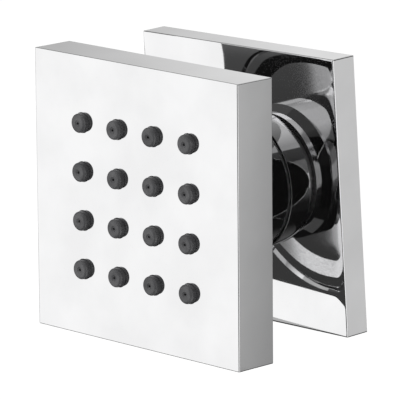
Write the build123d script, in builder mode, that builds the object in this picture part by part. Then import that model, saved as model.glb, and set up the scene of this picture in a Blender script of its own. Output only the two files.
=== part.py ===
from build123d import *
import os
from math import cos, radians, sqrt, tan

# A square shower body jet for a wall, in millimetres with +Z up
# The origin is the middle of the water inlet's mouth, and the jet faces -Y
os.makedirs("parts", exist_ok=True)

# How the jet was left: the head swung a little to +X and up, the wall plate turned a little on the body
HEAD_YAW = 2.8
HEAD_PITCH = 2.3
PLATE_TURN = 1.7
MAX_SWING = 11.0

# Fits between the pieces
RUNNING_FIT = 0.05
FACE_FIT = 0.05
LOOSE_FIT = 0.2

# Nozzle grid
NOZZLE_ROWS = 4
NOZZLE_PITCH = 9.1
NOZZLE_R = 1.78
NOZZLE_PROUD = 1.25
NOZZLE_ROUND = 0.5
OUTLET_R = 0.25
OUTLET_LENGTH = 1.0
OUTLET_DISH = 0.35
OUTLET_DISH_DEPTH = 0.16
FEED_R = 0.9

# Head, stacked from its front face to the back of its cap
HEAD_FACE = 1.6
MAT_THICK = 1.0
SPRAY_THICK = 1.0
CHAMBER = 1.5
CAP_THICK = 3.6
HEAD_RIM = 1.7
HEAD_EDGE = 0.18
POCKET_MARGIN = 3.17
POCKET_LIP = 0.9
HOLE_LIP = 0.1
CAP_DISH = 0.7
CAP_CONE = 3.05
CAP_LAND = 1.95
CAP_EDGE = 0.15
CAP_SEAL_CORD_R = 0.75
FEED_MARGIN = 0.2

# Ball, its hollow stem and what holds the head on it
BALL_R = 8.0
BALL_FLAT = 0.8
STEM_R = 3.9
STEM_BORE_R = 2.7
STEM_SHOULDER = 0.6
STEM_END = 0.35
CLIP_THICK = 0.6
CLIP_R = 5.4
CLIP_BITE = 0.5
CLIP_GAP = 2.4
STEM_SEAL_CORD_R = 0.6

# Inlet body, from its mouth in the wall to the ball's socket
INLET_R = 10.4775
INLET_LEAD = 0.45
THREAD_LENGTH = 9.2
THREAD_RELIEF = 0.42
INLET_DEPTH = 12.0
REGULATOR_R = 7.5
REGULATOR_DEPTH = 3.2
SEAT_WEB = 1.4
WATERWAY_R = 5.4
SOCKET_GAP = 0.2
SPIGOT_WALL = 2.4
SPIGOT_AHEAD = 2.8
BODY_WALL = 1.7
BODY_CHAMFER = 0.5
SHOULDER_BACK = 3.685
SHOULDER_CHAMFER = 0.15
FLAT_WALL = 1.1
FLAT_BACK = 1.5
FLAT_LENGTH = 7.0

# Washer, screen and flow regulator in the inlet
WASHER_R = 9.2
WASHER_BORE_R = 6.0
WASHER_THICK = 2.0
SCREEN_THICK = 0.4
SCREEN_ROWS = 7
SCREEN_PITCH = 1.3
SCREEN_HOLE = 0.9
REGULATOR_POST_R = 2.2
REGULATOR_WALL = 1.6
REGULATOR_FLOOR = 1.1
REGULATOR_HOLES = 8
REGULATOR_HOLE_R = 0.6
REGULATOR_CORD_R = 0.9

# Ball seal behind the ball, friction seat and disc spring in front of it
BALL_SEAL_CORD_R = 1.25
SEAT_R = 10.3
SEAT_THICK = 2.5
SPRING_THICK = 0.35
SPRING_RISE = 0.3
SPRING_WIDTH = 2.4

# Collar nut
NUT_GAP = 2.385
NUT_WALL = 2.05
NUT_BAND = 1.35
NUT_BAND_DROP = 1.15
NUT_CONE = 1.75
NUT_CONE_DROP = 1.25
NUT_LIP = 1.7
NUT_CHAMFER = 0.3
LIP_CLEARANCE = 0.5
HEAD_GAP = 1.85

# Wall plate with its hub, ring and pad
BALL_REACH = 14.0
PLATE_SIDE = 51.4
PLATE_THICK = 5.1
PLATE_FACE = 1.8
PLATE_RIM = 2.2
PLATE_CORNER = 0.4
PLATE_EDGE = 0.2
POCKET_CORNER = 1.5
HUB_WALL = 3.2
HUB_STEP = 0.3
PLATE_RING_CORD_R = 0.9
PLATE_RING_BACK = 1.7
PAD_MARGIN = 1.0

# Radii worked out from the inlet outwards and from the ball outwards
relief_r = INLET_R + THREAD_RELIEF
body_r = relief_r + BODY_WALL
socket_r = BALL_R + SOCKET_GAP
spigot_r = socket_r + SPIGOT_WALL
nut_r = spigot_r + RUNNING_FIT + NUT_WALL
neck_r = STEM_R + STEM_SHOULDER

# The ball seal lies in the corner of the socket, so its place sets how far out the ball stands
ball_seal_r = socket_r - RUNNING_FIT - BALL_SEAL_CORD_R
ball_seal_reach = BALL_R + RUNNING_FIT + BALL_SEAL_CORD_R
ball_seal_back = sqrt(ball_seal_reach**2 - ball_seal_r**2)

# Places along the wall axis, measured forward from the inlet's mouth
regulator_floor = INLET_DEPTH + REGULATOR_DEPTH
socket_floor = regulator_floor + SEAT_WEB
ball_seal_out = socket_floor + BALL_SEAL_CORD_R
ball_out = ball_seal_out + ball_seal_back
wall_out = ball_out - BALL_REACH
shoulder_out = ball_out - SHOULDER_BACK
spigot_out = ball_out + SPIGOT_AHEAD
nut_back = shoulder_out + NUT_GAP
seat_back = spigot_out + FACE_FIT
seat_front = seat_back + SEAT_THICK
spring_back = seat_front + FACE_FIT
lip_back = spring_back + SPRING_THICK + SPRING_RISE + FACE_FIT
nut_front = lip_back + NUT_LIP

# Places along the head's axis, measured forward from the ball's centre
head_back = nut_front - ball_out + HEAD_GAP
dish_back = head_back + CAP_DISH
cap_front = head_back + CAP_THICK
clip_back = cap_front + FACE_FIT
clip_front = clip_back + CLIP_THICK
stem_front = clip_front + STEM_END
spray_back = cap_front + CHAMBER
mat_back = spray_back + SPRAY_THICK
mat_front = mat_back + MAT_THICK
head_front = mat_front + HEAD_FACE

# The round pocket in the head takes in the nozzles at the corners of the grid, with a margin for the cap's rim
corner_r = NOZZLE_PITCH * (NOZZLE_ROWS - 1) / 2 * sqrt(2)
hole_r = NOZZLE_R + RUNNING_FIT
pocket_r = corner_r + hole_r + POCKET_MARGIN
head_side = 2 * (pocket_r + HEAD_RIM)
cap_r = pocket_r - LOOSE_FIT / 2

# The nut's opening lets the neck lean as far as the head swings
lip_r = (nut_front - ball_out) * tan(radians(MAX_SWING)) + neck_r / cos(radians(MAX_SWING)) + LIP_CLEARANCE

# Facing planes look forward out of the wall
inlet_facing = Plane.XZ
wall_facing = Plane.XZ.offset(wall_out)
plate_facing = wall_facing.rotated((0, -PLATE_TURN, 0))
ball_facing = Plane.XZ.offset(ball_out).rotated((-HEAD_PITCH, 0, 0)).rotated((0, 0, HEAD_YAW))
wall_axis = Axis(inlet_facing.origin, inlet_facing.z_dir)
head_axis = Axis(ball_facing.origin, ball_facing.z_dir)


def section_through(facing):
    """The plane that holds a facing plane's axis, with x out from the axis and y forward along it."""
    return Plane(origin=facing.origin, x_dir=facing.x_dir, z_dir=-facing.y_dir)


inlet_section = section_through(inlet_facing)
wall_section = section_through(wall_facing)
head_section = section_through(ball_facing)


def round_ring(section, axis, ring_r, forward, cord_r):
    """A rubber ring about an axis, its round cord centred ring_r out from it."""
    with BuildPart() as ring:
        with BuildSketch(section):
            with Locations((ring_r, forward)):
                Circle(cord_r)
        revolve(axis=axis)
    return ring


# Inlet body: threaded mouth, regulator pocket, ball socket, and a spigot for the collar nut
with BuildPart() as inlet_body:
    with BuildSketch(inlet_section):
        with BuildLine():
            Polyline(
                (body_r, BODY_CHAMFER),
                (body_r, shoulder_out - SHOULDER_CHAMFER),
                (body_r - SHOULDER_CHAMFER, shoulder_out),
                (spigot_r, shoulder_out),
                (spigot_r, spigot_out),
                (socket_r, spigot_out),
                (socket_r, socket_floor),
                (WATERWAY_R, socket_floor),
                (WATERWAY_R, regulator_floor),
                (REGULATOR_R, regulator_floor),
                (REGULATOR_R, INLET_DEPTH),
                (relief_r, INLET_DEPTH),
                (relief_r, THREAD_LENGTH),
                (INLET_R, THREAD_LENGTH),
                (INLET_R, INLET_LEAD),
                (INLET_R + INLET_LEAD, 0),
                (body_r - BODY_CHAMFER, 0),
                close=True,
            )
        make_face()
    revolve(axis=wall_axis)
    # Two spanner flats behind the wall plate
    with BuildSketch(inlet_facing.offset(FLAT_BACK)):
        Circle(body_r + BODY_WALL)
        Rectangle(2 * (INLET_R + FLAT_WALL), 3 * body_r, mode=Mode.SUBTRACT)
    extrude(amount=FLAT_LENGTH, mode=Mode.SUBTRACT)
inlet_body.part.label = "inlet_body"
export_step(inlet_body.part, "parts/inlet_body.step")

# Inlet screen: a thin disc with a square mesh, lying on the floor of the thread
screen_back = INLET_DEPTH - SCREEN_THICK
with BuildPart() as inlet_screen:
    with BuildSketch(inlet_facing.offset(screen_back)):
        Circle(WASHER_R)
        with GridLocations(SCREEN_PITCH, SCREEN_PITCH, SCREEN_ROWS, SCREEN_ROWS):
            Rectangle(SCREEN_HOLE, SCREEN_HOLE, mode=Mode.SUBTRACT)
    extrude(amount=SCREEN_THICK)
inlet_screen.part.label = "inlet_screen"
export_step(inlet_screen.part, "parts/inlet_screen.step")

# Inlet washer: a flat rubber ring that the supply pipe's end presses on
with BuildPart() as inlet_washer:
    with BuildSketch(inlet_facing.offset(screen_back - WASHER_THICK)):
        Circle(WASHER_R)
        Circle(WASHER_BORE_R, mode=Mode.SUBTRACT)
    extrude(amount=WASHER_THICK)
inlet_washer.part.label = "inlet_washer"
export_step(inlet_washer.part, "parts/inlet_washer.step")

# Flow regulator: a moulded disc with a post, and a ring of holes under a rubber ring
regulator_back = INLET_DEPTH + FACE_FIT
regulator_r = REGULATOR_R - LOOSE_FIT / 2
regulator_trough_r = regulator_r - REGULATOR_WALL
regulator_ring_r = (REGULATOR_POST_R + regulator_trough_r) / 2
regulator_trough_floor = regulator_floor - REGULATOR_FLOOR
with BuildPart() as flow_regulator:
    with BuildSketch(inlet_facing.offset(regulator_back)):
        Circle(regulator_r)
    extrude(amount=regulator_floor - regulator_back)
    with BuildSketch(inlet_facing.offset(regulator_back)):
        Circle(regulator_trough_r)
        Circle(REGULATOR_POST_R, mode=Mode.SUBTRACT)
    extrude(amount=regulator_trough_floor - regulator_back, mode=Mode.SUBTRACT)
    with BuildSketch(inlet_facing.offset(regulator_back)):
        with PolarLocations(regulator_ring_r, REGULATOR_HOLES):
            Circle(REGULATOR_HOLE_R)
    extrude(amount=regulator_floor - regulator_back, mode=Mode.SUBTRACT)
flow_regulator.part.label = "flow_regulator"
export_step(flow_regulator.part, "parts/flow_regulator.step")

# Regulator ring: it squeezes into the holes as the pressure rises
regulator_ring = round_ring(
    inlet_section, wall_axis, regulator_ring_r, regulator_trough_floor - REGULATOR_CORD_R, REGULATOR_CORD_R
)
regulator_ring.part.label = "regulator_ring"
export_step(regulator_ring.part, "parts/regulator_ring.step")

# Ball seal: a rubber ring in the corner of the socket, behind the ball
ball_seal = round_ring(inlet_section, wall_axis, ball_seal_r, ball_seal_out, BALL_SEAL_CORD_R)
ball_seal.part.label = "ball_seal"
export_step(ball_seal.part, "parts/ball_seal.step")

# Swivel ball: a turned ball with a hollow stem that carries the head
clip_groove_r = STEM_R - CLIP_BITE
neck_start = sqrt(BALL_R**2 - neck_r**2)
shoulder_front = dish_back - FACE_FIT
flat_back = BALL_FLAT - BALL_R
flat_r = sqrt(BALL_R**2 - flat_back**2)
with BuildPart() as swivel_ball:
    with BuildSketch(head_section):
        with BuildLine():
            ball = ThreePointArc((flat_r, flat_back), (BALL_R, 0), (neck_r, neck_start))
            Polyline(
                ball @ 1,
                (neck_r, shoulder_front),
                (STEM_R, shoulder_front),
                (STEM_R, clip_back),
                (clip_groove_r, clip_back),
                (clip_groove_r, clip_front),
                (STEM_R, clip_front),
                (STEM_R, stem_front),
                (STEM_BORE_R, stem_front),
                (STEM_BORE_R, flat_back),
                ball @ 0,
            )
        make_face()
    revolve(axis=head_axis)
swivel_ball.part.label = "swivel_ball"
export_step(swivel_ball.part, "parts/swivel_ball.step")

# Friction seat: a plastic ring hollowed to the ball, held in the nut in front of it
seat_ball_r = BALL_R + RUNNING_FIT
seat_back_r = sqrt(seat_ball_r**2 - (seat_back - ball_out) ** 2)
seat_front_r = sqrt(seat_ball_r**2 - (seat_front - ball_out) ** 2)
with BuildPart() as friction_seat:
    with BuildSketch(inlet_section):
        with BuildLine():
            hollow = RadiusArc((seat_back_r, seat_back), (seat_front_r, seat_front), -seat_ball_r)
            Polyline(hollow @ 1, (SEAT_R, seat_front), (SEAT_R, seat_back), hollow @ 0)
        make_face()
    revolve(axis=wall_axis)
friction_seat.part.label = "friction_seat"
export_step(friction_seat.part, "parts/friction_seat.step")

# Disc spring: a coned steel washer that keeps the seat pressed on the ball
spring_inner_r = SEAT_R - SPRING_WIDTH
with BuildPart() as disc_spring:
    with BuildSketch(inlet_section):
        with BuildLine():
            Polyline(
                (SEAT_R, spring_back),
                (SEAT_R, spring_back + SPRING_THICK),
                (spring_inner_r, spring_back + SPRING_THICK + SPRING_RISE),
                (spring_inner_r, spring_back + SPRING_RISE),
                close=True,
            )
        make_face()
    revolve(axis=wall_axis)
disc_spring.part.label = "disc_spring"
export_step(disc_spring.part, "parts/disc_spring.step")

# Collar nut: screwed on the spigot, with a thin band, a cone and a plain rim
nut_bore_r = spigot_r + RUNNING_FIT
nut_seat_r = SEAT_R + RUNNING_FIT
band_end = nut_back + NUT_BAND
cone_end = band_end + NUT_CONE
with BuildPart() as collar_nut:
    with BuildSketch(inlet_section):
        with BuildLine():
            Polyline(
                (nut_bore_r, nut_back),
                (nut_r - NUT_BAND_DROP, nut_back),
                (nut_r - NUT_BAND_DROP, band_end),
                (nut_r - NUT_CONE_DROP, band_end),
                (nut_r, cone_end),
                (nut_r, nut_front - NUT_CHAMFER),
                (nut_r - NUT_CHAMFER, nut_front),
                (lip_r, nut_front),
                (lip_r, lip_back),
                (nut_seat_r, lip_back),
                (nut_seat_r, seat_back),
                (nut_bore_r, seat_back),
                close=True,
            )
        make_face()
    revolve(axis=wall_axis)
collar_nut.part.label = "collar_nut"
export_step(collar_nut.part, "parts/collar_nut.step")

# Plate ring: a rubber ring in the wall plate's hub that grips the body
plate_ring_r = body_r + RUNNING_FIT + PLATE_RING_CORD_R
plate_ring = round_ring(wall_section, wall_axis, plate_ring_r, PLATE_RING_BACK, PLATE_RING_CORD_R)
plate_ring.part.label = "plate_ring"
export_step(plate_ring.part, "parts/plate_ring.step")

# Wall plate: a square cover, hollow behind, with a hub that slides on the body
plate_bore_r = body_r + LOOSE_FIT
hub_r = plate_bore_r + HUB_WALL
ring_groove_r = plate_ring_r + PLATE_RING_CORD_R + RUNNING_FIT
ring_groove_width = 2 * (PLATE_RING_CORD_R + LOOSE_FIT)
pocket_side = PLATE_SIDE - 2 * PLATE_RIM
pocket_depth = PLATE_THICK - PLATE_FACE
with BuildPart() as wall_plate:
    with BuildSketch(plate_facing):
        Rectangle(PLATE_SIDE, PLATE_SIDE)
    extrude(amount=PLATE_THICK)
    fillet(wall_plate.edges().filter_by(wall_axis), radius=PLATE_CORNER)
    fillet(wall_plate.faces().sort_by(wall_axis)[-1].edges(), radius=PLATE_EDGE)
    with BuildSketch(plate_facing):
        RectangleRounded(pocket_side, pocket_side, POCKET_CORNER)
        Circle(hub_r, mode=Mode.SUBTRACT)
    extrude(amount=pocket_depth, mode=Mode.SUBTRACT)
    with BuildSketch(plate_facing):
        Circle(hub_r)
    extrude(amount=HUB_STEP, mode=Mode.SUBTRACT)
    with BuildSketch(plate_facing):
        Circle(plate_bore_r)
    extrude(amount=PLATE_THICK, mode=Mode.SUBTRACT)
    with BuildSketch(wall_section):
        with Locations((0, PLATE_RING_BACK)):
            Rectangle(ring_groove_r, ring_groove_width, align=(Align.MIN, Align.CENTER))
    revolve(axis=wall_axis, mode=Mode.SUBTRACT)
wall_plate.part.label = "wall_plate"
export_step(wall_plate.part, "parts/wall_plate.step")

# Wall pad: foam in the hollow of the plate, flush with the wall
with BuildPart() as wall_pad:
    with BuildSketch(plate_facing):
        RectangleRounded(pocket_side - LOOSE_FIT, pocket_side - LOOSE_FIT, POCKET_CORNER)
        Circle(hub_r + PAD_MARGIN, mode=Mode.SUBTRACT)
    extrude(amount=pocket_depth)
wall_pad.part.label = "wall_pad"
export_step(wall_pad.part, "parts/wall_pad.step")

# Head block: a square block with a round pocket behind and a hole for each nozzle
with BuildPart() as head_block:
    with BuildSketch(ball_facing.offset(head_back)):
        Rectangle(head_side, head_side)
    extrude(amount=head_front - head_back)
    fillet(head_block.edges(), radius=HEAD_EDGE)
    with BuildSketch(ball_facing.offset(head_back)):
        Circle(pocket_r)
    extrude(amount=mat_front - head_back, mode=Mode.SUBTRACT)
    chamfer(head_block.faces().sort_by(head_axis)[0].edges().filter_by(GeomType.CIRCLE), length=POCKET_LIP)
    with BuildSketch(ball_facing.offset(mat_front)):
        with GridLocations(NOZZLE_PITCH, NOZZLE_PITCH, NOZZLE_ROWS, NOZZLE_ROWS):
            Circle(hole_r)
    extrude(amount=HEAD_FACE, mode=Mode.SUBTRACT)
    chamfer(head_block.faces().sort_by(head_axis)[-1].edges().filter_by(GeomType.CIRCLE), length=HOLE_LIP)
head_block.part.label = "head_block"
export_step(head_block.part, "parts/head_block.step")

# Nozzle mat: one soft moulding, each nozzle a short post with a rounded end that stands out of the face
tip_front = head_front + NOZZLE_PROUD
dish_r = OUTLET_R + OUTLET_DISH
dish_ball_r = (dish_r**2 + OUTLET_DISH_DEPTH**2) / (2 * OUTLET_DISH_DEPTH)
with BuildPart() as nozzle_mat:
    with BuildSketch(ball_facing.offset(mat_back)):
        Circle(pocket_r - LOOSE_FIT)
    extrude(amount=MAT_THICK)
    with BuildSketch(ball_facing.offset(mat_front)):
        with GridLocations(NOZZLE_PITCH, NOZZLE_PITCH, NOZZLE_ROWS, NOZZLE_ROWS):
            Circle(NOZZLE_R)
    extrude(amount=tip_front - mat_front)
    fillet(nozzle_mat.faces().group_by(head_axis)[-1].edges(), radius=NOZZLE_ROUND)
    with BuildSketch(ball_facing.offset(mat_back)):
        with GridLocations(NOZZLE_PITCH, NOZZLE_PITCH, NOZZLE_ROWS, NOZZLE_ROWS):
            Circle(FEED_R)
    extrude(amount=tip_front - OUTLET_LENGTH - mat_back, mode=Mode.SUBTRACT)
    with BuildSketch(ball_facing.offset(mat_back)):
        with GridLocations(NOZZLE_PITCH, NOZZLE_PITCH, NOZZLE_ROWS, NOZZLE_ROWS):
            Circle(OUTLET_R)
    extrude(amount=tip_front - mat_back, mode=Mode.SUBTRACT)
    # A shallow round dish about each outlet
    with Locations(ball_facing.offset(tip_front + dish_ball_r - OUTLET_DISH_DEPTH)):
        with GridLocations(NOZZLE_PITCH, NOZZLE_PITCH, NOZZLE_ROWS, NOZZLE_ROWS):
            Sphere(dish_ball_r, mode=Mode.SUBTRACT)
nozzle_mat.part.label = "nozzle_mat"
export_step(nozzle_mat.part, "parts/nozzle_mat.step")

# Spray plate: a stiff disc that backs the mat and feeds each nozzle
with BuildPart() as spray_plate:
    with BuildSketch(ball_facing.offset(spray_back)):
        Circle(pocket_r - LOOSE_FIT)
        with GridLocations(NOZZLE_PITCH, NOZZLE_PITCH, NOZZLE_ROWS, NOZZLE_ROWS):
            Circle(FEED_R, mode=Mode.SUBTRACT)
    extrude(amount=SPRAY_THICK)
spray_plate.part.label = "spray_plate"
export_step(spray_plate.part, "parts/spray_plate.step")

# Rear cap: a turned lid, dished behind, that clamps the spray plate with its rim
stem_hole_r = STEM_R + RUNNING_FIT
cap_middle = (dish_back + cap_front) / 2
stem_groove = STEM_SEAL_CORD_R + LOOSE_FIT / 2
stem_groove_r = stem_hole_r + 2 * STEM_SEAL_CORD_R
cap_groove = CAP_SEAL_CORD_R + LOOSE_FIT / 2
cap_seal_r = pocket_r - RUNNING_FIT - CAP_SEAL_CORD_R
cap_groove_r = cap_seal_r - CAP_SEAL_CORD_R - RUNNING_FIT
cone_r = cap_r - CAP_LAND
cap_dish_r = cone_r - CAP_CONE
with BuildPart() as rear_cap:
    with BuildSketch(head_section):
        with BuildLine():
            Polyline(
                (stem_hole_r, dish_back),
                (cap_dish_r, dish_back),
                (cone_r, head_back),
                (cap_r - CAP_EDGE, head_back),
                (cap_r, head_back + CAP_EDGE),
                (cap_r, cap_middle - cap_groove),
                (cap_groove_r, cap_middle - cap_groove),
                (cap_groove_r, cap_middle + cap_groove),
                (cap_r, cap_middle + cap_groove),
                (cap_r, spray_back),
                (corner_r + FEED_R + FEED_MARGIN, spray_back),
                (corner_r + FEED_R + FEED_MARGIN, cap_front),
                (stem_hole_r, cap_front),
                (stem_hole_r, cap_middle + stem_groove),
                (stem_groove_r, cap_middle + stem_groove),
                (stem_groove_r, cap_middle - stem_groove),
                (stem_hole_r, cap_middle - stem_groove),
                close=True,
            )
        make_face()
    revolve(axis=head_axis)
rear_cap.part.label = "rear_cap"
export_step(rear_cap.part, "parts/rear_cap.step")

# Cap seal: a rubber ring round the cap, against the wall of the pocket
cap_seal = round_ring(head_section, head_axis, cap_seal_r, cap_middle, CAP_SEAL_CORD_R)
cap_seal.part.label = "cap_seal"
export_step(cap_seal.part, "parts/cap_seal.step")

# Stem seal: a rubber ring in the cap's hole, round the stem
stem_seal_r = STEM_R + RUNNING_FIT + STEM_SEAL_CORD_R
stem_seal = round_ring(head_section, head_axis, stem_seal_r, cap_middle, STEM_SEAL_CORD_R)
stem_seal.part.label = "stem_seal"
export_step(stem_seal.part, "parts/stem_seal.step")

# Stem clip: an open steel ring in the stem's groove that keeps the head on
with BuildPart() as stem_clip:
    with BuildSketch(ball_facing.offset(clip_back)):
        Circle(CLIP_R)
        Circle(clip_groove_r, mode=Mode.SUBTRACT)
        Rectangle(CLIP_GAP, 2 * CLIP_R, align=(Align.CENTER, Align.MIN), mode=Mode.SUBTRACT)
    extrude(amount=CLIP_THICK)
stem_clip.part.label = "stem_clip"
export_step(stem_clip.part, "parts/stem_clip.step")

print("head", round(head_side, 2), "square and", round(head_front - head_back, 2), "thick")
print("wall plate", PLATE_SIDE, "square, from", round(wall_out, 2), "out of the inlet's mouth")
print("ball centre", round(ball_out, 3), "out, head front", round(ball_out + head_front, 2), "out")
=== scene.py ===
# %% [markdown]
# A shower body jet is a small spray that is fixed to a shower's wall. A square chrome head with soft
# nozzles sits on a ball joint, so it can be aimed, and a square polished plate behind it hides the hole in
# the tiles. This lesson dresses a finished CAD model of one: it gives every piece its surface, remodels the
# pieces whose looks need a finer shape than the solids have, and sets up a small studio whose dark and
# light cards make polished metal read as metal.

# %% Load the CAD model as a fixed frame
import math

import bmesh
import bpy
from mathutils import Matrix, Vector


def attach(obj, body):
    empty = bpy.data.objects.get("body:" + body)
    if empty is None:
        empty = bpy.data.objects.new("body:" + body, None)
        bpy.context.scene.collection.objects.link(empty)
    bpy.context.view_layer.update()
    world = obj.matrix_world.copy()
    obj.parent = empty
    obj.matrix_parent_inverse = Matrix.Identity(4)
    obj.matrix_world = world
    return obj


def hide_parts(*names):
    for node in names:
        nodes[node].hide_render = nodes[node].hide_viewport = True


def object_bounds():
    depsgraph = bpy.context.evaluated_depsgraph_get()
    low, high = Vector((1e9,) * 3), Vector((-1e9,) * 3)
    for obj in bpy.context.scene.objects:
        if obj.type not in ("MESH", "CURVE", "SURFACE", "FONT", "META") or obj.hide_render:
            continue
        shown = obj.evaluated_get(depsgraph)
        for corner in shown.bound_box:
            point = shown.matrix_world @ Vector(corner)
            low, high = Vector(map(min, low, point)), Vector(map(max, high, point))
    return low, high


MM = 0.001

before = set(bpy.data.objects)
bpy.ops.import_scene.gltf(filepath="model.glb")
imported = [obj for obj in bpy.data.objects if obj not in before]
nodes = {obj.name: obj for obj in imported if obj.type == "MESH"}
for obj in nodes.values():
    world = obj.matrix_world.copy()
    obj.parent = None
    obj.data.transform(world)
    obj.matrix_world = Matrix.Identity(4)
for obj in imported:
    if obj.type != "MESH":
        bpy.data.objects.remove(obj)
cad_low, cad_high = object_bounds()
print("CAD box in millimetres:", [round(side / MM, 1) for side in cad_high - cad_low])

# %% [markdown]
# The camera comes first, because every later choice is checked through it. The jet was photographed from
# far off with a long lens: its edges stay almost parallel. A long lens far away does that here too, and its
# field of view is only a few degrees wide. The small roll is how the real camera stood.

# %% Camera
CAMERA_AZIMUTH = math.radians(48.359)
CAMERA_ELEVATION = math.radians(14.308)
CAMERA_ROLL = math.radians(2.161)
CAMERA_AIM = Vector((0.0, -26.0 * MM, -1.292 * MM))
CAMERA_DISTANCE = 804.1 * MM
CAMERA_LENS = 396.5

scene = bpy.context.scene
camera_data = bpy.data.cameras.new("camera")
camera_data.lens = CAMERA_LENS
camera = bpy.data.objects.new("camera", camera_data)
scene.collection.objects.link(camera)
turn = Matrix.Rotation(CAMERA_AZIMUTH, 4, "Z")
tilt = Matrix.Rotation(math.pi / 2 - CAMERA_ELEVATION, 4, "X")
roll = Matrix.Rotation(-CAMERA_ROLL, 4, "Z")
stand_off = Matrix.Translation((0, 0, CAMERA_DISTANCE))
camera.matrix_world = Matrix.Translation(CAMERA_AIM) @ turn @ tilt @ roll @ stand_off
scene.camera = camera
print("Field of view in degrees:", round(math.degrees(camera_data.angle), 2))

# %% [markdown]
# Every finish below starts from the same things: a new material, its Principled shader, and the Object
# output of a Texture Coordinate node, which measures the piece in metres. A noise pattern that is stretched
# to a range of values is used again and again, for colour and roughness that are never quite even, so each
# of these gets a helper.

# %% Helpers for finishes
def new_finish(name):
    """A material, its node tree, its shader and its Object coordinates."""
    material = bpy.data.materials.new(name)
    material.use_nodes = True
    tree = material.node_tree
    shader = tree.nodes["Principled BSDF"]
    coordinates = tree.nodes.new("ShaderNodeTexCoord")
    return material, tree, shader, coordinates.outputs["Object"]


def noise_pattern(tree, place, grain, detail=3.0):
    """Noise whose blotches are about grain metres across."""
    noise = tree.nodes.new("ShaderNodeTexNoise")
    noise.inputs["Scale"].default_value = 1 / grain
    noise.inputs["Detail"].default_value = detail
    tree.links.new(place, noise.inputs["Vector"])
    return noise.outputs["Fac"]


def spread(tree, pattern, low, high, start=0.35, end=0.65):
    """Stretches a pattern to run from low to high."""
    stretch = tree.nodes.new("ShaderNodeMapRange")
    stretch.inputs["From Min"].default_value = start
    stretch.inputs["From Max"].default_value = end
    stretch.inputs["To Min"].default_value = low
    stretch.inputs["To Max"].default_value = high
    tree.links.new(pattern, stretch.inputs["Value"])
    return stretch.outputs["Result"]


def two_tones(tree, pattern, first, second, start=0.35, end=0.65):
    """Blends from one colour to another along a pattern."""
    ramp = tree.nodes.new("ShaderNodeValToRGB")
    ramp.color_ramp.elements[0].position = start
    ramp.color_ramp.elements[0].color = (*first, 1)
    ramp.color_ramp.elements[1].position = end
    ramp.color_ramp.elements[1].color = (*second, 1)
    tree.links.new(pattern, ramp.inputs["Fac"])
    return ramp.outputs["Color"]


def vary(tree, shader, pattern, first, second, haze):
    """Lets a pattern vary a finish between two colours and along a range of roughness."""
    tree.links.new(two_tones(tree, pattern, first, second), shader.inputs["Base Color"])
    tree.links.new(spread(tree, pattern, *haze), shader.inputs["Roughness"])


def relief(tree, shader, pattern, depth):
    """Lets a pattern stand out of the surface by depth metres."""
    bump = tree.nodes.new("ShaderNodeBump")
    bump.inputs["Strength"].default_value = 1.0
    bump.inputs["Distance"].default_value = depth
    tree.links.new(pattern, bump.inputs["Height"])
    tree.links.new(bump.outputs["Normal"], shader.inputs["Normal"])


# %% [markdown]
# Polished chrome is nearly a mirror. What tells it from a perfect one is a breath of unevenness: wiping
# leaves faint clouds where the surface is a little less sharp and a little darker.

# %% Polished chrome
CHROME_LIGHT = (0.93, 0.93, 0.935)
CHROME_CLOUD = (0.87, 0.87, 0.875)
CHROME_HAZE = (0.015, 0.035)
CLOUD_SIZE = 12 * MM


def polished_chrome(name):
    material, tree, shader, place = new_finish(name)
    clouds = noise_pattern(tree, place, CLOUD_SIZE)
    vary(tree, shader, clouds, CHROME_LIGHT, CHROME_CLOUD, CHROME_HAZE)
    shader.inputs["Metallic"].default_value = 1.0
    return material


chrome = polished_chrome("polished_chrome")
for name in ("head_block", "swivel_ball"):
    nodes[name].material_slots[0].material = chrome
print("Polished:", chrome.name)

# %% [markdown]
# The groove between the body and its nut lies in shade, and that shade is painted into its colour: there
# the chrome is a dull dark grey. Both are single turned solids. Their finish measures how far a point lies
# out of the wall, and blends from mirror to the painted shade at the body's shoulder and at the nut's back.

# %% Chrome with painted shade in the groove
# Painted shade: dark grey tones that stand for the shade in the groove between the body and the nut, and in
# the plate's bore
GROOVE_SHADE_PALE = (0.26, 0.26, 0.26)
GROOVE_SHADE_DARK = (0.18, 0.18, 0.18)
GROOVE_HAZE = (0.35, 0.55)
SHADE_PATCH_SIZE = 0.6 * MM
SHOULDER = 20.4 * MM
NUT_BACK = 22.785 * MM
GROOVE_BLEND = 0.08 * MM


def from_wall(tree, place):
    """How far out a point lies along the inlet's axis."""
    along = tree.nodes.new("ShaderNodeVectorMath")
    along.operation = "DOT_PRODUCT"
    along.inputs[1].default_value = (0, -1, 0)
    tree.links.new(place, along.inputs[0])
    return along.outputs["Value"]


def blend(tree, amount, first, second, shader_input, data_type):
    """Feeds a shader's input from one pattern to another as an amount goes from 0 to 1."""
    mix = tree.nodes.new("ShaderNodeMix")
    mix.data_type = data_type
    ends = [socket for socket in mix.inputs if socket.enabled and socket.name in ("A", "B")]
    tree.links.new(amount, mix.inputs["Factor"])
    tree.links.new(first, ends[0])
    tree.links.new(second, ends[1])
    result = [socket for socket in mix.outputs if socket.enabled][0]
    tree.links.new(result, shader_input)


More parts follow.
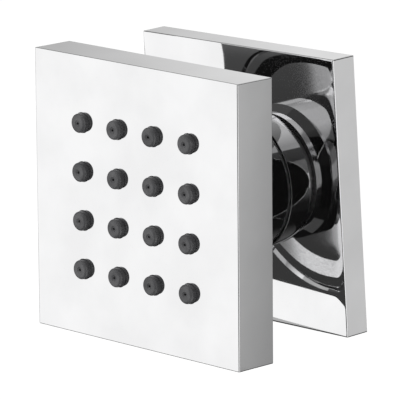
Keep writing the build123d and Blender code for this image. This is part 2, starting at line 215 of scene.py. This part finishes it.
# The chrome turns to a painted shade in the groove, so the groove's shade is in its colour
def chrome_with_painted_shade(name, shaded_at, mirror_at):
    material, tree, shader, place = new_finish(name)
    clouds = noise_pattern(tree, place, CLOUD_SIZE)
    shade_pattern = noise_pattern(tree, place, SHADE_PATCH_SIZE)
    out_of_shade = spread(tree, from_wall(tree, place), 0, 1, shaded_at, mirror_at)
    mirror_tone = two_tones(tree, clouds, CHROME_LIGHT, CHROME_CLOUD)
    painted_shade_tone = two_tones(tree, shade_pattern, GROOVE_SHADE_PALE, GROOVE_SHADE_DARK)
    blend(tree, out_of_shade, painted_shade_tone, mirror_tone, shader.inputs["Base Color"], "RGBA")
    mirror_haze = spread(tree, clouds, *CHROME_HAZE)
    shade_haze = spread(tree, shade_pattern, *GROOVE_HAZE)
    blend(tree, out_of_shade, shade_haze, mirror_haze, shader.inputs["Roughness"], "FLOAT")
    shader.inputs["Metallic"].default_value = 1.0
    return material


body_chrome = chrome_with_painted_shade("body_chrome", SHOULDER, SHOULDER - GROOVE_BLEND)
nut_chrome = chrome_with_painted_shade("nut_chrome", NUT_BACK, NUT_BACK + GROOVE_BLEND)
nodes["inlet_body"].material_slots[0].material = body_chrome
nodes["collar_nut"].material_slots[0].material = nut_chrome
print("Grooved:", body_chrome.name, nut_chrome.name)

# %% [markdown]
# The cap in the back of the head was turned on a lathe and plated as it was, so it keeps the fine circular
# lines of the tool. Such lines smear a reflection across them, which makes the bright wedges that turn with
# the light. The shader's anisotropy does that when its tangent runs round the axis.

# %% Turned chrome
TURNED_LIGHT = (0.86, 0.86, 0.865)
TURNED_DARK = (0.74, 0.74, 0.745)
TURNED_HAZE = (0.08, 0.11)
TURNED_GRAIN = 0.3 * MM
TURNED_SMEAR = 0.7


def turned_chrome(name):
    material, tree, shader, place = new_finish(name)
    clouds = noise_pattern(tree, place, TURNED_GRAIN)
    vary(tree, shader, clouds, TURNED_LIGHT, TURNED_DARK, TURNED_HAZE)
    tangent = tree.nodes.new("ShaderNodeTangent")
    tangent.direction_type = "RADIAL"
    tangent.axis = "Y"
    tree.links.new(tangent.outputs["Tangent"], shader.inputs["Tangent"])
    shader.inputs["Metallic"].default_value = 1.0
    shader.inputs["Anisotropic"].default_value = TURNED_SMEAR
    return material


turned = turned_chrome("turned_chrome")
nodes["rear_cap"].material_slots[0].material = turned
print("Turned:", turned.name)

# %% [markdown]
# The nozzles are one moulding of soft silicone. It is dark grey and satin, and a thumb rubbed over it
# leaves paler and darker patches. A fine grain keeps its shine from being even.

# %% Nozzle silicone
SILICONE_PALE = (0.08, 0.08, 0.083)
SILICONE_DARK = (0.055, 0.055, 0.058)
SILICONE_HAZE = (0.3, 0.42)
PATCH_SIZE = 2 * MM
SILICONE_GRAIN = 0.12 * MM
SILICONE_GRAIN_DEPTH = 0.006 * MM


def nozzle_silicone(name):
    material, tree, shader, place = new_finish(name)
    patches = noise_pattern(tree, place, PATCH_SIZE)
    vary(tree, shader, patches, SILICONE_PALE, SILICONE_DARK, SILICONE_HAZE)
    grain = noise_pattern(tree, place, SILICONE_GRAIN, detail=2.0)
    relief(tree, shader, grain, SILICONE_GRAIN_DEPTH)
    return material


silicone = nozzle_silicone("nozzle_silicone")
nodes["nozzle_mat"].material_slots[0].material = silicone
print("Moulded:", silicone.name)

# %% [markdown]
# The pieces inside the joint are seen only when the jet is off the wall: black sealing rings, white plastic
# that slides, and spring steel. Rubber blooms in pale patches, plastic shows how it flowed into its mould,
# and steel keeps the grain of the rolls.

# %% Rubber, plastic and steel
RUBBER_BLACK = (0.018, 0.018, 0.018)
RUBBER_BLOOM = (0.035, 0.035, 0.036)
PLASTIC_WHITE = (0.80, 0.80, 0.77)
PLASTIC_FLOW = (0.74, 0.74, 0.71)
STEEL_PALE = (0.62, 0.62, 0.63)
STEEL_DARK = (0.5, 0.5, 0.51)


def sealing_rubber(name):
    material, tree, shader, place = new_finish(name)
    vary(tree, shader, noise_pattern(tree, place, 3 * MM), RUBBER_BLACK, RUBBER_BLOOM, (0.45, 0.65))
    return material


def sliding_plastic(name):
    material, tree, shader, place = new_finish(name)
    vary(tree, shader, noise_pattern(tree, place, 6 * MM), PLASTIC_WHITE, PLASTIC_FLOW, (0.3, 0.42))
    return material


def spring_steel(name):
    material, tree, shader, place = new_finish(name)
    vary(tree, shader, noise_pattern(tree, place, 0.8 * MM), STEEL_PALE, STEEL_DARK, (0.22, 0.36))
    shader.inputs["Metallic"].default_value = 1.0
    return material


finishes = {
    "seal_rubber": sealing_rubber("seal_rubber"),
    "white_plastic": sliding_plastic("white_plastic"),
    "spring_steel": spring_steel("spring_steel"),
}
inside = {
    "seal_rubber": ("cap_seal", "stem_seal", "ball_seal", "plate_ring", "regulator_ring", "inlet_washer"),
    "white_plastic": ("spray_plate", "friction_seat", "flow_regulator"),
    "spring_steel": ("disc_spring", "stem_clip", "inlet_screen"),
}
for finish, names in inside.items():
    for name in names:
        nodes[name].material_slots[0].material = finishes[finish]
    print(finish, "on", len(names), "pieces")

# %% [markdown]
# The wall plate is a mirror, so its shape shows in what it mirrors. Buffing wears a soft fall into the last
# few millimetres before each edge, and there the mirrored lines bend. A CAD plane has no such fall, so the
# plate is modelled again. It starts as a block, whose front is inset in small steps that climb less and
# less.

# %% Wall plate: block and polished front
# A hair under the solid plate, whose corners are rounder, so that it stays inside that plate's box
PLATE_HALF = 25.693 * MM
PLATE_THICK = 5.1 * MM
FALL_WIDTH = 2.8 * MM
FALL_DEPTH = 0.15 * MM
FALL_STEPS = 8
SQUARELY = 0.999
UPRIGHT_SHARE = 0.9


def facing(bm, direction):
    """The face that looks squarely one way, and the furthest out and largest of those."""
    direction = Vector(direction)
    flat = [face for face in bm.faces if face.normal.dot(direction) > SQUARELY]

    def rank(face):
        return round(face.calc_center_median().dot(direction), 6), face.calc_area()

    return max(flat, key=rank)


def upright(edge):
    """Whether an edge runs straight out of the wall."""
    first, second = (vert.co for vert in edge.verts)
    return abs(first.z - second.z) > UPRIGHT_SHARE * (first - second).length


plate_bm = bmesh.new()
bmesh.ops.create_cube(plate_bm, size=1)
block = Matrix.Diagonal((2 * PLATE_HALF, 2 * PLATE_HALF, PLATE_THICK - FALL_DEPTH, 1))
bmesh.ops.transform(plate_bm, matrix=block @ Matrix.Translation((0, 0, 0.5)), verts=plate_bm.verts)
plate_bm.normal_update()
front = facing(plate_bm, (0, 0, 1))
corners = [edge for edge in plate_bm.edges if upright(edge)]
rim = list(front.edges)
left_to_climb = FALL_DEPTH
for step in range(FALL_STEPS):
    still_left = FALL_DEPTH * (1 - (step + 1) / FALL_STEPS) ** 3
    bmesh.ops.inset_region(
        plate_bm,
        faces=[front],
        thickness=FALL_WIDTH / FALL_STEPS,
        depth=left_to_climb - still_left,
        use_even_offset=True,
    )
    left_to_climb = still_left
bmesh.ops.inset_region(plate_bm, faces=[front], thickness=FALL_WIDTH / FALL_STEPS, use_even_offset=True)
print("Front of the plate in millimetres:", round(front.calc_center_median().z / MM, 3))

# %% [markdown]
# Behind its face the plate is a shallow tray: a rim that lies against the wall, and a hollow for the foam.
# Two insets make it, the second one pushed in. Casting rounds the tray's corners, and polishing takes the
# sharpness off the outer edges, so both are bevelled.

# %% Wall plate: tray and edges
PLATE_RIM = 2.2 * MM
PLATE_EDGE = 0.2 * MM
TRAY_DEPTH = 3.3 * MM
TRAY_CORNER = 1.5 * MM
SUPPORT = 0.05 * MM
BEVEL_STEPS = 5


def round_over(bm, edges, radius):
    """Bevels some edges in a few steps."""
    bmesh.ops.bevel(
        bm, geom=edges, offset=radius, affect="EDGES", segments=BEVEL_STEPS, profile=0.5, material=-1
    )


back = facing(plate_bm, (0, 0, -1))
bmesh.ops.inset_region(plate_bm, faces=[back], thickness=PLATE_RIM - SUPPORT, use_even_offset=True)
bmesh.ops.inset_region(
    plate_bm, faces=[back], thickness=SUPPORT, depth=-TRAY_DEPTH, use_even_offset=True
)
tray_corners = [edge for edge in plate_bm.edges if upright(edge) and edge not in corners]
round_over(plate_bm, tray_corners, TRAY_CORNER)
round_over(plate_bm, corners + rim, PLATE_EDGE)
plate_bm.normal_update()
print("Faces on the plate with its tray:", len(plate_bm.faces))

# %% [markdown]
# Mirrored lines bend less along the plate's top, so there its front falls less. Each point of the front is
# lifted by a share of its fall, none at the bottom and most at the top. The long faces beside the edges
# would bend over their whole length, so they are cut near the corners first. A thin inset keeps the shading
# of the four sides flat.

# %% Wall plate: less fall along the top
FALL_AT_TOP = 0.3
CUT_MARGIN = 0.6 * MM
CORNER_CUT = PLATE_HALF - FALL_WIDTH - CUT_MARGIN
FORWARD_A_LITTLE = 0.1


def cut(bm, faces, point, direction):
    """Cuts some faces along a plane, and leaves them joined."""
    geom = set(faces)
    for face in faces:
        geom.update(face.edges)
        geom.update(face.verts)
    bmesh.ops.bisect_plane(bm, geom=list(geom), plane_co=point, plane_no=direction)


def on_front(face):
    """Whether a face belongs to the polished front."""
    return face.normal.z > FORWARD_A_LITTLE and face.calc_center_median().z > TRAY_DEPTH


for direction in (Vector((1, 0, 0)), Vector((0, 1, 0))):
    for distance in (-CORNER_CUT, CORNER_CUT):
        polished = [face for face in plate_bm.faces if on_front(face)]
        cut(plate_bm, polished, distance * direction, direction)
for vert in plate_bm.verts:
    sunk = min(PLATE_THICK - vert.co.z, FALL_DEPTH)
    height = min(max((vert.co.y + CORNER_CUT) / (2 * CORNER_CUT), 0.0), 1.0)
    if vert.co.z > TRAY_DEPTH + SUPPORT:
        vert.co.z += sunk * height * (1 - FALL_AT_TOP)
sides = [facing(plate_bm, side) for side in ((1, 0, 0), (-1, 0, 0), (0, 1, 0), (0, -1, 0))]
bmesh.ops.inset_individual(plate_bm, faces=sides, thickness=SUPPORT, use_even_offset=True)
print("Faces on the plate with its cut front:", len(plate_bm.faces))

# %% [markdown]
# A hub in the middle of the tray slides on the round body, with a groove for the rubber ring. Each of its
# edges is a round loop, and bridging one loop to the next makes the walls between them. The front and the
# floor of the tray are opened, and their square outlines are cut until they have as many edges as a ring,
# so that the first and last bridges run evenly from square to round.

# %% Wall plate: hub and bore
BORE_R = 12.7975 * MM
HUB_WALL = 3.2 * MM
HUB_R = BORE_R + HUB_WALL
HUB_STEP = 0.3 * MM
GROOVE_R = 14.4975 * MM
GROOVE = (0.6 * MM, 2.8 * MM)
LIP = 0.3 * MM
LIP_DEPTH = 0.13 * MM
ROUND_STEPS = 96
HELD_APART = 30 * MM


def ring_of_edges(bm, radius, height):
    """A round loop about the plate's middle."""
    ring = bmesh.ops.create_circle(
        bm, segments=ROUND_STEPS, radius=radius, matrix=Matrix.Translation((0, 0, height))
    )
    return list({edge for vert in ring["verts"] for edge in vert.link_edges})


def open_face(bm, face):
    """Takes a face away and gives the loop round it, its four sides cut to match a ring's edges."""
    loop = list(face.edges)
    opened_before = {edge for edge in bm.edges if edge.is_boundary}
    bmesh.ops.delete(bm, geom=[face], context="FACES_ONLY")
    long_sides = sorted(loop, key=lambda edge: edge.calc_length())[-4:]
    bmesh.ops.subdivide_edges(bm, edges=long_sides, cuts=(ROUND_STEPS - len(loop)) // 4)
    return [edge for edge in bm.edges if edge.is_boundary and edge not in opened_before]


def bridge(bm, near, far):
    """Joins two loops, held apart meanwhile, because loops in one plane can be joined crosswise."""
    raised = list({vert for edge in far for vert in edge.verts})
    bmesh.ops.translate(bm, vec=(0, 0, HELD_APART), verts=raised)
    made = bmesh.ops.bridge_loops(bm, edges=near + far)
    bmesh.ops.translate(bm, vec=(0, 0, -HELD_APART), verts=raised)
    return made["edges"]


def tray_floor(face):
    """Whether a face lies on the floor of the tray."""
    return face.normal.z < -SQUARELY and face.calc_center_median().z > TRAY_DEPTH / 2


front = facing(plate_bm, (0, 0, 1))
back = max(filter(tray_floor, plate_bm.faces), key=lambda face: face.calc_area())
front_loop = open_face(plate_bm, front)
tray_loop = open_face(plate_bm, back)
hub_rings = [
    ring_of_edges(plate_bm, radius, height)
    for radius, height in (
        (HUB_R, TRAY_DEPTH),
        (HUB_R, HUB_STEP),
        (BORE_R, HUB_STEP),
        (BORE_R, GROOVE[0]),
        (GROOVE_R, GROOVE[0]),
        (GROOVE_R, GROOVE[1]),
        (BORE_R, GROOVE[1]),
        (BORE_R, PLATE_THICK - LIP_DEPTH),
        (BORE_R + LIP, PLATE_THICK),
    )
]
loops = [tray_loop] + hub_rings + [front_loop]
for near, far in zip(loops, loops[1:]):
    bridge(plate_bm, near, far)
bmesh.ops.recalc_face_normals(plate_bm, faces=plate_bm.faces)
print("Faces on the plate:", len(plate_bm.faces), "with", len(front_loop), "edges round its front")

# %% [markdown]
# The back of the plate is not polished: the plating lies on the metal as it was cast, and looks soft and
# dull. Faces that look at the wall, or into the tray, take that second finish. The bore, where the plate
# meets the body, takes the same painted shade as the groove on the body. Edges sharper than a small angle
# are marked as creases, so that shading is smooth only between them.

# %% Wall plate: finishes and shading
PLATE_OUT = 10.0854 * MM
PLATE_TURN = math.radians(1.7)
CREASE = math.radians(20)
CAST_PALE = (0.5, 0.5, 0.51)
CAST_DARK = (0.38, 0.38, 0.39)
CAST_HAZE = (0.4, 0.6)
CAST_GRAIN = 0.5 * MM
CAST_GRAIN_DEPTH = 0.03 * MM
TOWARDS_WALL = -0.5
FLAT_FRONT = 0.99

# From the plate's own directions, right, up and out of the wall, to the jet's
on_wall = (
    Matrix.Translation((0, -PLATE_OUT, 0))
    @ Matrix.Rotation(-PLATE_TURN, 4, "Y")
    @ Matrix.Rotation(math.pi / 2, 4, "X")
)


def as_cast(name):
    material, tree, shader, place = new_finish(name)
    skin = noise_pattern(tree, place, CAST_GRAIN, detail=4.0)
    vary(tree, shader, skin, CAST_PALE, CAST_DARK, CAST_HAZE)
    relief(tree, shader, skin, CAST_GRAIN_DEPTH)
    shader.inputs["Metallic"].default_value = 1.0
    return material


# Painted shade for the walls of the bore, where the plate meets the body
def bore_with_painted_shade(name):
    material, tree, shader, place = new_finish(name)
    shade_pattern = noise_pattern(tree, place, SHADE_PATCH_SIZE)
    vary(tree, shader, shade_pattern, GROOVE_SHADE_PALE, GROOVE_SHADE_DARK, GROOVE_HAZE)
    shader.inputs["Metallic"].default_value = 1.0
    return material


def finish_piece(bm, name, materials, place):
    """Puts a piece in its place, shades it smoothly up to its creases and shows it."""
    for face in bm.faces:
        face.smooth = True
    for edge in bm.edges:
        edge.smooth = edge.calc_face_angle(0) < CREASE
    bmesh.ops.transform(bm, matrix=place, verts=bm.verts)
    mesh = bpy.data.meshes.new(name)
    bm.to_mesh(mesh)
    bm.free()
    for material in materials:
        mesh.materials.append(material)
    piece = bpy.data.objects.new(name, mesh)
    scene.collection.objects.link(piece)
    return piece


plate_bm.normal_update()
for face in plate_bm.faces:
    middle = face.calc_center_median()
    within_rim = max(abs(middle.x), abs(middle.y)) < PLATE_HALF - PLATE_RIM
    inside_tray = within_rim and middle.z < TRAY_DEPTH + SUPPORT
    in_bore = math.hypot(middle.x, middle.y) < BORE_R + LIP and middle.z > GROOVE[1]
    face.material_index = 1 if inside_tray or face.normal.z < TOWARDS_WALL else 0
    # The bore's walls take the painted shade
    if in_bore and face.normal.z < FLAT_FRONT:
        face.material_index = 2
plate_finishes = [chrome, as_cast("plate_back"), bore_with_painted_shade("plate_bore")]
plate = finish_piece(plate_bm, "polished_plate", plate_finishes, on_wall)
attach(plate, "plate")
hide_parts("wall_plate")
print("Plate box in millimetres:", [round(side / MM, 2) for side in plate.dimensions])

# %% [markdown]
# A pad of closed-cell foam fills the tray and seals against the tiles. Foam is cut from a sheet with a
# knife, so its edges are a little rounded over and its face swells between them. It starts as the tray's
# own outline with a round hole, bridged like the plate, and its face is divided so that the middle can
# swell.

# %% Foam pad
PAD_HALF = 23.4 * MM
PAD_MARGIN = 1.0 * MM
PAD_HOLE_R = HUB_R + PAD_MARGIN
PAD_DEPTH = TRAY_DEPTH
PAD_ROUND = 0.5 * MM
PAD_SWELL = 0.25 * MM
PAD_CUTS = 7
FOAM_DARK = (0.03, 0.03, 0.032)
FOAM_PALE = (0.065, 0.065, 0.067)
FOAM_HAZE = (0.8, 0.95)
FOAM_CELL = 0.5 * MM
FOAM_CELL_DEPTH = 0.12 * MM


def pad_foam(name):
    material, tree, shader, place = new_finish(name)
    cells = noise_pattern(tree, place, FOAM_CELL)
    vary(tree, shader, cells, FOAM_DARK, FOAM_PALE, FOAM_HAZE)
    relief(tree, shader, cells, FOAM_CELL_DEPTH)
    return material


pad_bm = bmesh.new()
bmesh.ops.create_cube(pad_bm, size=1)
slab = Matrix.Diagonal((2 * PAD_HALF, 2 * PAD_HALF, PAD_DEPTH - PAD_SWELL, 1))
bmesh.ops.transform(pad_bm, matrix=slab @ Matrix.Translation((0, 0, 0.5)), verts=pad_bm.verts)
bmesh.ops.translate(pad_bm, vec=(0, 0, PAD_SWELL), verts=pad_bm.verts)
round_over(pad_bm, [edge for edge in pad_bm.edges if upright(edge)], TRAY_CORNER)
pad_bm.normal_update()
wall_loop = open_face(pad_bm, facing(pad_bm, (0, 0, -1)))
tray_side_loop = open_face(pad_bm, facing(pad_bm, (0, 0, 1)))
wall_ring = ring_of_edges(pad_bm, PAD_HOLE_R, PAD_SWELL)
tray_ring = ring_of_edges(pad_bm, PAD_HOLE_R, PAD_DEPTH)
across = bridge(pad_bm, wall_loop, wall_ring)
bridge(pad_bm, tray_side_loop, tray_ring)
bridge(pad_bm, wall_ring, tray_ring)
bmesh.ops.subdivide_edges(pad_bm, edges=across, cuts=PAD_CUTS, use_grid_fill=True)
swollen = [vert for vert in pad_bm.verts if vert.co.z < PAD_SWELL + SUPPORT]
for vert in swollen:
    from_edge = PAD_HALF - max(abs(vert.co.x), abs(vert.co.y))
    from_hole = math.hypot(vert.co.x, vert.co.y) - PAD_HOLE_R
    room = max(0.0, min(from_edge, from_hole))
    vert.co.z -= PAD_SWELL * (1 - math.exp(-room / PAD_ROUND))
bmesh.ops.recalc_face_normals(pad_bm, faces=pad_bm.faces)
pad = finish_piece(pad_bm, "foam_pad", [pad_foam("pad_foam")], on_wall)
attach(pad, "plate")
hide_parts("wall_pad")
print("Pad box in millimetres:", [round(side / MM, 2) for side in pad.dimensions])

# %% [markdown]
# The inlet has a half-inch pipe thread. In the solids it is a plain bore at the thread's widest, so the
# ridges are added here: one face with the ridge's profile is spun round the axis and moved along it a
# little with every step, which winds it into a closed helix.

# %% Inlet thread
THREAD_PITCH = 1.814 * MM
THREAD_ROOT_R = 10.49 * MM
THREAD_CREST_R = 9.36 * MM
THREAD_START = 1.3 * MM
THREAD_TURNS = 4.1
STEPS_PER_TURN = 72
CREST_HALF = 0.22 * MM
ROOT_HALF = 0.8 * MM

thread_bm = bmesh.new()
outline = [
    thread_bm.verts.new((radius, -THREAD_START + along, 0))
    for radius, along in (
        (THREAD_ROOT_R, ROOT_HALF),
        (THREAD_CREST_R, CREST_HALF),
        (THREAD_CREST_R, -CREST_HALF),
        (THREAD_ROOT_R, -ROOT_HALF),
    )
]
profile = thread_bm.faces.new(outline)
bmesh.ops.spin(
    thread_bm,
    geom=[profile],
    cent=(0, 0, 0),
    axis=(0, 1, 0),
    dvec=(0, -THREAD_PITCH / STEPS_PER_TURN, 0),
    angle=math.radians(360 * THREAD_TURNS),
    steps=round(THREAD_TURNS * STEPS_PER_TURN),
    use_merge=False,
)
bmesh.ops.recalc_face_normals(thread_bm, faces=thread_bm.faces)
thread_end = min(vert.co.y for vert in thread_bm.verts)
thread = finish_piece(thread_bm, "inlet_thread", [chrome], Matrix.Identity(4))
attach(thread, "body")
print("The thread ends at millimetres:", round(thread_end / MM, 2))

# %% [markdown]
# The studio is white above, as a light tent is. The world is plain white where the camera or a mirror sees
# it, and a little weaker as a lamp, so that shadows stay. Light passes to and fro between the plate and the
# head, so mirrors are followed for more bounces than usual.

# %% Studio world
WORLD_LIGHT = 0.55
MIRROR_BOUNCES = 10

world = bpy.data.worlds.new("studio")
scene.world = world
world.use_nodes = True
tree = world.node_tree
tree.nodes.clear()
rays = tree.nodes.new("ShaderNodeLightPath")
seen = tree.nodes.new("ShaderNodeMath")
seen.operation = "ADD"
tree.links.new(rays.outputs["Is Camera Ray"], seen.inputs[0])
tree.links.new(rays.outputs["Is Glossy Ray"], seen.inputs[1])
through = tree.nodes.new("ShaderNodeMath")
through.operation = "ADD"
through.use_clamp = True
tree.links.new(seen.outputs[0], through.inputs[0])
tree.links.new(rays.outputs["Is Transmission Ray"], through.inputs[1])
lamp_sky = tree.nodes.new("ShaderNodeBackground")
lamp_sky.inputs["Strength"].default_value = WORLD_LIGHT
lamp_sky.inputs["Color"].default_value = (1, 1, 1, 1)
white_sky = tree.nodes.new("ShaderNodeBackground")
white_sky.inputs["Color"].default_value = (1, 1, 1, 1)
mix = tree.nodes.new("ShaderNodeMixShader")
tree.links.new(through.outputs[0], mix.inputs["Fac"])
tree.links.new(lamp_sky.outputs[0], mix.inputs[1])
tree.links.new(white_sky.outputs[0], mix.inputs[2])
output = tree.nodes.new("ShaderNodeOutputWorld")
tree.links.new(mix.outputs[0], output.inputs["Surface"])
scene.view_settings.view_transform = "Standard"
scene.cycles.glossy_bounces = MIRROR_BOUNCES
print("World as a lamp:", WORLD_LIGHT)

# %% [markdown]
# Polished metal shows its surroundings, so cards decide its tones. Each card is a patch of a ball round the
# jet: one corner is spun upwards into an edge, and the edge is spun sideways into the card. Its paper glows
# by itself, so its tone is the one that the metal shows, and it may fade from one tone to another. Only
# mirrors see the cards.

# %% How a card is made
CARD_DISTANCE = 0.58
CARD_STEPS = 24


def around(azimuth, elevation, distance=CARD_DISTANCE):
    """A place round the jet, by the same angles as the camera's."""
    a, e = math.radians(azimuth), math.radians(elevation)
    direction = Vector((math.sin(a) * math.cos(e), -math.cos(a) * math.cos(e), math.sin(e)))
    return CAMERA_AIM + distance * direction


def card_tone(name, first, second, start, end):
    """Paper that glows by itself, from one tone at a start to another at an end."""
    material = bpy.data.materials.new(name)
    material.use_nodes = True
    tree = material.node_tree
    tree.nodes.clear()
    direction = (end - start).normalized()
    coordinates = tree.nodes.new("ShaderNodeTexCoord")
    along = tree.nodes.new("ShaderNodeVectorMath")
    along.operation = "DOT_PRODUCT"
    along.inputs[1].default_value = direction
    tree.links.new(coordinates.outputs["Object"], along.inputs[0])
    tone = spread(tree, along.outputs["Value"], first, second, start.dot(direction), end.dot(direction))
    glow = tree.nodes.new("ShaderNodeEmission")
    tree.links.new(tone, glow.inputs["Strength"])
    output = tree.nodes.new("ShaderNodeOutputMaterial")
    tree.links.new(glow.outputs[0], output.inputs["Surface"])
    return material


def card(name, azimuths, elevations, tones, fade_from=None, fade_to=None):
    """A card bent round the jet that only mirrors see, fading between two directions."""
    bm = bmesh.new()
    side = math.radians(azimuths[0])
    corner = bm.verts.new(around(azimuths[0], elevations[0]))
    bmesh.ops.spin(
        bm,
        geom=[corner],
        cent=CAMERA_AIM,
        axis=(-math.cos(side), -math.sin(side), 0),
        angle=math.radians(elevations[1] - elevations[0]),
        steps=CARD_STEPS,
    )
    bmesh.ops.spin(
        bm,
        geom=bm.verts[:] + bm.edges[:],
        cent=CAMERA_AIM,
        axis=(0, 0, 1),
        angle=math.radians(azimuths[1] - azimuths[0]),
        steps=CARD_STEPS,
    )
    mesh = bpy.data.meshes.new(name)
    bm.to_mesh(mesh)
    bm.free()
    fade_from = around(*(fade_from or (azimuths[0], elevations[0])))
    fade_to = around(*(fade_to or (azimuths[0], elevations[1])))
    mesh.materials.append(card_tone(name, *tones, fade_from, fade_to))
    obj = bpy.data.objects.new(name, mesh)
    scene.collection.objects.link(obj)
    obj.visible_camera = False
    obj.visible_diffuse = False
    obj.visible_shadow = False
    return obj


print("Cards stand at metres:", CARD_DISTANCE)

# %% [markdown]
# A white card in front on the left lights the face. Under the jet and towards the camera a studio is dark,
# and black cards there draw the thin dark lines along the edges. Each line gives a card's name, its range
# of azimuth and of elevation in degrees, its two tones, and the two directions that they fade between.

# %% Cards in front, beside and below
card("white_card_front", (-62, -25), (-12, 0), (1.0, 1.0))
card("white_card_front_low", (-49.7, -25), (-29, -12), (1.0, 1.0))
card("grey_card_front", (-62, -49.7), (-29, -12), (0.45, 0.45))
card("dark_card_low_front", (-62, 30), (-75, -29), (0.07, 0.006), (-30, -50), (10, -50))
card("dark_card_front", (-25, 30), (-29, 18), (0.05, 0.006), (-25, 0), (0, 0))
card("black_card_camera", (30, 55), (-75, 62), (0.004, 0.004))
card("black_card_camera_high", (55, 70), (15, 62), (0.004, 0.004))
card("black_card_right", (111, 119.2), (-75, 42), (0.004, 0.004))
card("dark_card_left", (165, 298), (-25, -0.6), (0.2, 0.045), (230, -3), (230, -15))
card("black_card_low", (119.2, 298), (-75, -44.5), (0.006, 0.006))
card("black_card_left_low", (165, 298), (-45, -25), (0.006, 0.006))
card("dark_card_right_low", (119.2, 165), (-45, -18.6), (0.09, 0.01), (142, -20), (142, -33))
card("dark_card_floor", (0, 360), (-89.9, -74), (0.056, 0.056))

# %% [markdown]
# Grey cards behind and above tone the sides, the tops, and the round body that the plate mirrors.

# %% Cards behind and above
card("grey_card_right", (119.2, 150), (-19, 2), (0.58, 0.29), (132.3, -15.5), (135.9, -16.1))
card("grey_card_wall", (150, 165), (-19, 2), (0.25, 0.25))
card("dark_card_back_right", (119.2, 150), (2, 20), (0.008, 0.13), (126, 10), (138, 10))
card("dark_card_back_high", (119.2, 150), (20, 62), (0.008, 0.05), (126, 30), (148, 30))
card("grey_card_back", (150, 216), (-1, 62), (0.3, 0.55), (155, 40), (180, 44))
card("grey_card_top", (216, 252), (-1, 15), (0.5, 0.76), (232, 11.8), (225.5, 11.8))
card("grey_card_top_high", (216, 252), (15, 62), (0.32, 0.47), (230, 17), (222, 28))
card("dark_card_back_left", (252, 298), (-1, 62), (0.07, 0.07))
card("grey_card_front_high", (-75, -52.5), (0, 22), (0.3, 0.3))
card("white_card_top", (-50, -20), (20, 62), (1.0, 0.28), (-45, 49), (-22, 49))
card("grey_card_top_front", (-20, 30), (18, 62), (0.28, 0.1), (-20, 46), (25, 46))
card("dark_card_ceiling", (0, 360), (61, 77), (0.045, 0.045))

# %% [markdown]
# The floor lies well below the jet, as under a jet on a wall. It is pale, and glows a little, so that it
# runs into the white of the tent.

# %% Floor
FLOOR_DROP = 0.6
FLOOR_HALF = 6.0
FLOOR_TONE = 0.9
FLOOR_HAZE = 0.9
FLOOR_GLOW = 0.5

bm = bmesh.new()
bmesh.ops.create_grid(bm, x_segments=1, y_segments=1, size=FLOOR_HALF)
bmesh.ops.translate(bm, verts=bm.verts, vec=(0, 0, cad_low.z - FLOOR_DROP))
floor_mesh = bpy.data.meshes.new("floor")
bm.to_mesh(floor_mesh)
bm.free()
floor = bpy.data.objects.new("floor", floor_mesh)
scene.collection.objects.link(floor)
floor_material, tree, shader, place = new_finish("floor")
shader.inputs["Base Color"].default_value = (FLOOR_TONE, FLOOR_TONE, FLOOR_TONE, 1)
shader.inputs["Roughness"].default_value = FLOOR_HAZE
shader.inputs["Emission Color"].default_value = (1, 1, 1, 1)
shader.inputs["Emission Strength"].default_value = FLOOR_GLOW
floor_mesh.materials.append(floor_material)
print("Floor at metres:", round(cad_low.z - FLOOR_DROP, 3))

# %% [markdown]
# Three softboxes light what isn't a mirror: the nozzles, the foam and the rubber. Mirrors don't see them,
# because the cards already give the metal its tones.

# %% Lamps
def softbox(name, azimuth, elevation, distance, width, power):
    lamp = bpy.data.lights.new(name, "AREA")
    lamp.size = width
    lamp.energy = power
    obj = bpy.data.objects.new(name, lamp)
    scene.collection.objects.link(obj)
    obj.location = around(azimuth, elevation, distance)
    obj.rotation_euler = (CAMERA_AIM - obj.location).to_track_quat("-Z", "Y").to_euler()
    obj.visible_glossy = False
    print(name, "in watts:", power)


softbox("key_light", azimuth=-30, elevation=50, distance=1.2, width=0.8, power=8)
softbox("fill_light", azimuth=80, elevation=25, distance=1.5, width=0.8, power=3)
softbox("back_light", azimuth=205, elevation=25, distance=1.2, width=0.8, power=4)
